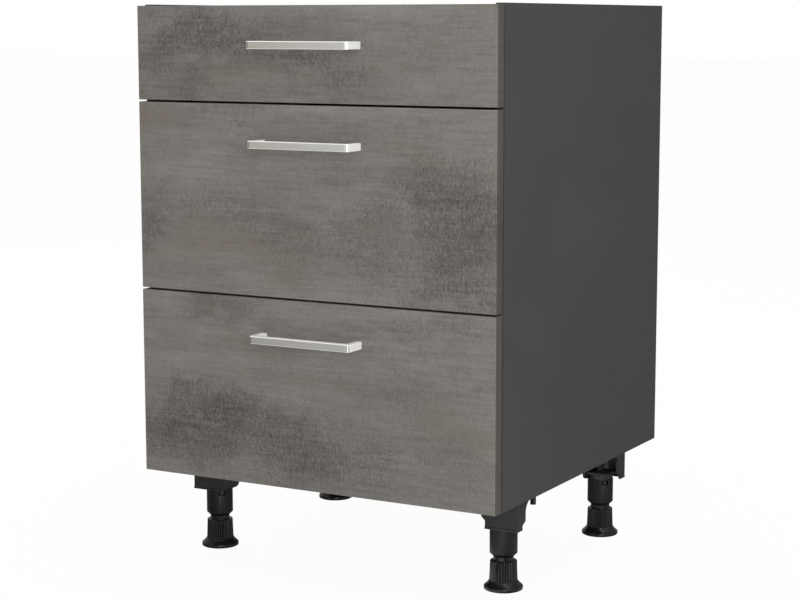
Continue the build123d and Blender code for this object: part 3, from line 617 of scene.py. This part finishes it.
def handle(drawer):
    """Bow handle with round bends and softly bevelled edges."""
    node = drawer + "_drawer_handle"
    low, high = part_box(node)
    reach = high.x
    front = high.y
    outside = low.y + HANDLE_BEND
    inside = low.y + HANDLE_BAR + HANDLE_GRIP
    flat = reach - HANDLE_BEND - HANDLE_FLAT_END
    side = outside + HANDLE_FLAT_END
    bow = [(-reach, front), (-reach, side)]
    bow += arc(-reach + HANDLE_BEND, outside, HANDLE_BEND, 180, 270)
    bow += [(-flat, low.y), (flat, low.y)]
    bow += arc(reach - HANDLE_BEND, outside, HANDLE_BEND, 270, 360)
    bow += [(reach, side), (reach, front), (reach - HANDLE_FOOT, front)]
    bow += arc(reach - HANDLE_FOOT - HANDLE_GRIP, inside, HANDLE_GRIP, 360, 270)
    bow += arc(-reach + HANDLE_FOOT + HANDLE_GRIP, inside, HANDLE_GRIP, 270, 180)
    bow.append((-reach + HANDLE_FOOT, front))
    mesh = bmesh.new()
    face = mesh.faces.new([mesh.verts.new((x, y, low.z)) for x, y in bow])
    grown = bmesh.ops.extrude_face_region(mesh, geom=[face])["geom"]
    raised = [item for item in grown if isinstance(item, bmesh.types.BMVert)]
    bmesh.ops.translate(mesh, verts=raised, vec=(0, 0, high.z - low.z))
    for height, width in ((high.z, HANDLE_BEVEL), (low.z, HANDLE_LOWER_BEVEL)):
        rims = []
        for edge in mesh.edges:
            ends = [vertex.co for vertex in edge.verts]
            level = all(abs(end.z - height) < NEAR_LEVEL for end in ends)
            on_front = all(end.y > front - NEAR_FRONT for end in ends)
            if level and not on_front:
                rims.append(edge)
        bmesh.ops.bevel(mesh, geom=rims, offset=width, segments=1, affect="EDGES")
    settle(mesh, node + "_bow", drawer + "_drawer", "bright_nickel", MATERIALS["bright_nickel"], node)


def lathe(mesh, rings, segments, start, axis):
    """Skin of rings along an axis, each a distance from the start and a radius for each angle."""
    turn = Vector((0, 0, 1)).rotation_difference(axis).to_matrix()
    rows = []
    for level, radius in rings:
        row = []
        for step in range(segments):
            angle = 2 * math.pi * step / segments
            size = radius(angle)
            point = Vector((size * math.cos(angle), size * math.sin(angle), level))
            row.append(mesh.verts.new(start + turn @ point))
        rows.append(row)
    for lower, upper in zip(rows, rows[1:]):
        for step in range(segments):
            after = (step + 1) % segments
            mesh.faces.new((lower[step], lower[after], upper[after], upper[step]))
    mesh.faces.new(rows[0])
    mesh.faces.new(rows[-1])


def round_ring(level, radius):
    """Plain round ring, sizes in millimetres."""
    return level * MM, lambda angle: radius * MM


def fluted_ring(level, radius, depth):
    """Ring with narrow flutes cut into it."""
    def size(angle):
        groove = (0.5 - 0.5 * math.cos(FLUTES * angle)) ** 2
        return (radius - depth * groove) * MM
    return level * MM, size


def threaded_ring(level):
    """Ring of the neck, on a coarse round thread."""
    def size(angle):
        wave = 0.5 - 0.5 * math.cos(angle - 2 * math.pi * level / THREAD_PITCH)
        return (NECK_RADIUS - THREAD_DEPTH * wave) * MM
    return level * MM, size


# Outline of the foot from the floor up: height and radius
FOOT_DISC = ((1.4, 24.4), (0.0, 25.2), (0.0, 27.6), (0.4, 28.4), (1.0, 28.8), (4.4, 28.8), (5.0, 28.65),
             (5.4, 28.2), (5.9, 27.5), (7.0, 26.2), (8.6, 24.6), (10.3, 23.1), (11.8, 22.0), (12.9, 21.4))
# Knob: height, radius and depth of the flutes
FOOT_KNOB = ((13.2, 21.2, 0.2), (13.5, 20.9, 1.2), (15.0, 20.8, 1.3), (28.0, 20.3, 1.3), (41.4, 19.9, 1.3),
             (42.2, 19.8, 1.2), (42.7, 19.4, 0.8))
FOOT_SHOULDER = ((43.0, 18.2), (43.0, 15.3), (43.3, 15.0), (49.2, 15.0))


def foot(corner):
    """Screw foot with a flared disc, a fluted knob and a threaded neck."""
    node = "foot_" + corner
    low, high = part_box(node)
    middle = Vector(((low.x + high.x) / 2, (low.y + high.y) / 2, low.z))
    rings = [round_ring(*ring) for ring in FOOT_DISC]
    rings += [fluted_ring(*ring) for ring in FOOT_KNOB]
    rings += [round_ring(*ring) for ring in FOOT_SHOULDER]
    turns = int((NECK_END - NECK_START) / THREAD_STEP)
    rings += [threaded_ring(NECK_START + THREAD_STEP * turn) for turn in range(turns + 1)]
    rings.append(round_ring((high.z - low.z) / MM, NECK_RADIUS - THREAD_DEPTH - NECK_TIP_INSET))
    mesh = bmesh.new()
    lathe(mesh, rings, FLUTES * FLUTE_STEPS, middle, Vector((0, 0, 1)))
    settle(mesh, node + "_screw", node, "black_plastic", MATERIALS["black_plastic"], node)


# Screws: shank radius, head radius, head height and depth of the cross, in millimetres
SCREW_SIZES = {
    "leg_screws": (1.75, 3.8, 2.2, 1.5),
    "runner_screws": (2.2, 3.8, 1.2, 0.9),
    "handle": (2.0, 4.0, 2.4, 1.6),
    "bracket": (1.75, 3.5, 2.0, 1.4),
}
SCREW_STEPS = 32
# Domed head: depth as a share of its height and radius as a share of its own
HEAD_PROFILE = ((0.0, 0.62), (0.16, 0.84), (0.45, 0.97), (0.7, 1.0), (1.0, 1.0))
# Point of a screw: its length in shank radii, its blunt end in millimetres and the end's two radii
POINT_LENGTH = 2.0
BLUNT_LENGTH = 0.2
BLUNT_RADII = (0.25, 0.1)
# Cross recess as shares of the head's radius, and how much of its width its floor keeps
CROSS_REACH = 0.56
CROSS_HALF = 0.15
CROSS_FLOOR = 0.7
SMALLEST_SINE = 0.001


def separate_boxes(node):
    """Boxes of the separate solids of one CAD node."""
    mesh = bmesh.new()
    mesh.from_mesh(NODES[node].data)
    bmesh.ops.remove_doubles(mesh, verts=mesh.verts, dist=SEW_WITHIN)
    seen = set()
    boxes = []
    for start in mesh.verts:
        if start in seen:
            continue
        seen.add(start)
        waiting = [start]
        corners = []
        while waiting:
            vertex = waiting.pop()
            corners.append(vertex.co.copy())
            for edge in vertex.link_edges:
                near = edge.other_vert(vertex)
                if near not in seen:
                    seen.add(near)
                    waiting.append(near)
        low = Vector([min(corner[axis] for corner in corners) for axis in range(3)])
        high = Vector([max(corner[axis] for corner in corners) for axis in range(3)])
        boxes.append((low, high))
    mesh.free()
    return boxes


def cross_ring(level, radius):
    """Outline of the cross recess in a head of a radius, sizes in millimetres."""
    def size(angle):
        turn = (angle + math.pi / 4) % (math.pi / 2) - math.pi / 4
        reach = CROSS_REACH * radius / math.cos(turn)
        side = max(abs(math.sin(turn)), SMALLEST_SINE)
        return min(reach, CROSS_HALF * radius / side) * MM
    return level * MM, size


def add_screw(mesh, top, axis, length, sizes):
    """Screw with a domed cross head whose highest point is top and whose tip lies along the axis."""
    shank, head, height, recess = sizes
    total = length / MM
    rings = [cross_ring(recess, CROSS_FLOOR * head), cross_ring(0.0, head)]
    rings += [round_ring(depth * height, radius * head) for depth, radius in HEAD_PROFILE]
    rings += [round_ring(height, shank), round_ring(total - POINT_LENGTH * shank, shank)]
    for depth, radius in zip((total - BLUNT_LENGTH, total), BLUNT_RADII):
        rings.append(round_ring(depth, radius * shank))
    lathe(mesh, rings, SCREW_STEPS, top, axis)


def screws(node, body, axis_of, sizes_of):
    """Detailed screws in place of the plain ones of a CAD node."""
    mesh = bmesh.new()
    for low, high in separate_boxes(node):
        axis = axis_of(low, high)
        middle = (low + high) / 2
        half = (high - low) / 2
        along = abs(half.dot(axis))
        add_screw(mesh, middle - axis * along, axis, 2 * along, sizes_of(2 * along))
    settle(mesh, node + "_cross", body, "zinc_steel", MATERIALS["zinc_steel"], node)


# Cam of the connectors, in millimetres: its rim lies on the board over the pocket
CAM_RIM = 8.4
CAM_RIM_TOP = 0.95 * CAM_RIM
CAM_RIM_THICK = 0.7
CAM_RIM_EDGE = 0.4 * CAM_RIM_THICK
CAM_RADIUS = 6.3
CAM_DEPTH = 13.0
CAM_RECESS = 4.5
CAM_CROSS_FLOOR = 0.8
CAM_STEPS = 48
HALF_BOARD = 8.0 * MM
# Cams above this height, in metres, are let in from above, those below it from below
CAM_TURN = 0.5


def cams():
    """Cams with a round rim and a cross recess, in place of the plain ones."""
    node = "connector_cams"
    mesh = bmesh.new()
    rings = [cross_ring(CAM_RECESS, CAM_CROSS_FLOOR * CAM_RADIUS), cross_ring(0.0, CAM_RADIUS)]
    rings += [round_ring(0.0, CAM_RIM_TOP), round_ring(CAM_RIM_EDGE, CAM_RIM)]
    rings += [round_ring(CAM_RIM_THICK, CAM_RIM), round_ring(CAM_RIM_THICK, CAM_RADIUS)]
    rings.append(round_ring(CAM_DEPTH, CAM_RADIUS))
    for low, high in separate_boxes(node):
        middle = (low + high) / 2
        inward = Vector((0, 0, -1 if middle.z > CAM_TURN else 1))
        lathe(mesh, rings, CAM_STEPS, middle - inward * (HALF_BOARD + CAM_RIM_THICK * MM), inward)
    settle(mesh, node + "_cross", "carcass", "zinc_steel", MATERIALS["zinc_steel"], node)


# Outline of a bumper from the drawer front: height and radius
BUMPER = ((0.0, 4.0), (0.5, 4.0), (1.0, 3.8), (1.45, 3.3), (1.8, 2.4), (1.96, 1.3), (2.0, 0.5))
BUMPER_STEPS = 32


def bumpers(drawer):
    """Domed bumpers in place of the plain ones."""
    node = drawer + "_drawer_bumpers"
    mesh = bmesh.new()
    for low, high in separate_boxes(node):
        middle = (low + high) / 2
        start = Vector((middle.x, low.y, middle.z))
        lathe(mesh, [round_ring(*ring) for ring in BUMPER], BUMPER_STEPS, start, Vector((0, 1, 0)))
    settle(mesh, node + "_domes", drawer + "_drawer", "clear_bumper", MATERIALS["clear_bumper"], node)


# The handle's screws are longer than this, the brackets' screws are shorter
LONG_SCREW = 20.0 * MM
for drawer in DRAWERS:
    handle(drawer)
    bumpers(drawer)
    screws(drawer + "_drawer_front_screws", drawer + "_drawer", lambda low, high: Vector((0, -1, 0)),
           lambda length: SCREW_SIZES["handle" if length > LONG_SCREW else "bracket"])
for corner in FEET:
    foot(corner)
cams()
screws("leg_screws", "carcass", lambda low, high: Vector((0, 0, 1)), lambda length: SCREW_SIZES["leg_screws"])
screws("runner_screws", "carcass", lambda low, high: Vector((math.copysign(1, low.x), 0, 0)),
       lambda length: SCREW_SIZES["runner_screws"])

# Carried-over solids
NODE_FINISHES = {"leg_brackets": "bracket_plastic", "leg_tubes": "tube_plastic"}
for subpart in frame["record"]["subparts"]:
    name = subpart["node"]
    slot = subpart["material_slot"]
    owner = name.split("_")[0]
    finish = owner + "_concrete" if slot == "concrete_decor" else NODE_FINISHES.get(name, slot)
    paint(NODES[name], MATERIALS[finish])
    if slot in EDGE_WIDTHS:
        finish_edges(NODES[name], EDGE_WIDTHS[slot])


# Floor, world, lights and camera
def room_tone(tree, direction):
    """How bright the studio is, seen in metal, along a direction from the object."""
    part = add(tree, "ShaderNodeSeparateXYZ", {0: direction}).outputs
    ahead = sum_up(tree, "MULTIPLY", part["Y"], -1.0)
    turn = sum_up(tree, "ARCTAN2", part["X"], ahead)
    share = sum_up(tree, "ADD", sum_up(tree, "DIVIDE", turn, 2 * math.pi), 0.5)
    return scale_of(tree, share, [(angle / 360 + 0.5, (*tone, 1.0)) for angle, tone in ROOM_TONES])


def make_floor():
    """White floor that keeps a soft shadow."""
    mesh = bmesh.new()
    corners = ((-1, -1), (1, -1), (1, 1), (-1, 1))
    mesh.faces.new([mesh.verts.new((x * FLOOR_HALF, y * FLOOR_HALF, -FLOOR_DROP)) for x, y in corners])
    data = bpy.data.meshes.new("floor")
    mesh.to_mesh(data)
    mesh.free()
    floor = bpy.data.objects.new("floor", data)
    bpy.context.scene.collection.objects.link(floor)
    made, tree, shader = start_material("floor")
    shader.inputs["Base Color"].default_value = (FLOOR_TONE, FLOOR_TONE, FLOOR_TONE, 1.0)
    shader.inputs["Roughness"].default_value = FLOOR_ROUGH
    shader.inputs["Specular IOR Level"].default_value = 0.0
    path = add(tree, "ShaderNodeLightPath").outputs
    seen = sum_up(tree, "MAXIMUM", path["Is Camera Ray"], path["Is Transmission Ray"])
    seen = sum_up(tree, "MAXIMUM", seen, path["Is Glossy Ray"])
    spot = add(tree, "ShaderNodeNewGeometry").outputs["Position"]
    away = add(tree, "ShaderNodeVectorMath", {0: spot}, operation="LENGTH").outputs["Value"]
    mirrored = span(tree, away, *FLOOR_FADE, FLOOR_NEAR, FLOOR_FAR)
    inputs = {0: room_tone(tree, spot), "Scale": mirrored}
    room = add(tree, "ShaderNodeVectorMath", inputs, operation="SCALE").outputs[0]
    tint = blend(tree, path["Is Glossy Ray"], (1.0, 1.0, 1.0, 1.0), room)
    glow = add(tree, "ShaderNodeEmission", {"Color": tint}).outputs[0]
    share = sum_up(tree, "MULTIPLY", seen, FLOOR_GLOW)
    mixed = add(tree, "ShaderNodeMixShader", {0: share, 1: shader.outputs[0], 2: glow}).outputs[0]
    tree.links.new(mixed, tree.nodes["Material Output"].inputs["Surface"])
    paint(floor, made)


def make_world():
    """White surroundings that light the object at a plain level, with a darker room for metal to mirror."""
    world = bpy.data.worlds.new("studio")
    bpy.context.scene.world = world
    world.use_nodes = True
    tree = world.node_tree
    back = tree.nodes["Background"]
    path = add(tree, "ShaderNodeLightPath").outputs
    room = room_tone(tree, add(tree, "ShaderNodeTexCoord").outputs["Generated"])
    lit = blend(tree, path["Is Glossy Ray"], (WORLD_FILL, WORLD_FILL, WORLD_FILL, 1.0), room)
    seen = sum_up(tree, "MAXIMUM", path["Is Camera Ray"], path["Is Transmission Ray"])
    feed(tree, back.inputs["Color"], blend(tree, seen, lit, (1.0, 1.0, 1.0, 1.0)))


def make_light(name, where, target, width, height, watts):
    """Soft rectangular lamp that faces a target."""
    data = bpy.data.lights.new(name, "AREA")
    data.shape = "RECTANGLE"
    data.size = width
    data.size_y = height
    data.energy = watts
    lamp = bpy.data.objects.new(name, data)
    bpy.context.scene.collection.objects.link(lamp)
    lamp.location = where
    lamp.rotation_euler = (Vector(target) - Vector(where)).to_track_quat("-Z", "Y").to_euler()
    lamp.visible_glossy = name != UNMIRRORED


def make_camera():
    """Camera at the photograph's viewing angle, tilted down a little."""
    data = bpy.data.cameras.new("camera")
    data.sensor_fit = "HORIZONTAL"
    data.sensor_width = SENSOR
    data.lens = FOCAL_PIXELS / IMAGE_WIDTH * SENSOR
    data.shift_x = (IMAGE_WIDTH / 2 - PRINCIPAL_COLUMN) / IMAGE_WIDTH
    data.clip_end = CLIP_END
    camera = bpy.data.objects.new("camera", data)
    bpy.context.scene.collection.objects.link(camera)
    camera.location = CAMERA_PLACE
    camera.rotation_euler = (math.radians(90 - CAMERA_PITCH), 0.0, math.radians(CAMERA_YAW))
    bpy.context.scene.camera = camera


make_floor()
make_world()
for name, lamp in LAMPS.items():
    make_light(name, *lamp)
make_camera()
bpy.context.scene.view_settings.view_transform = "Standard"
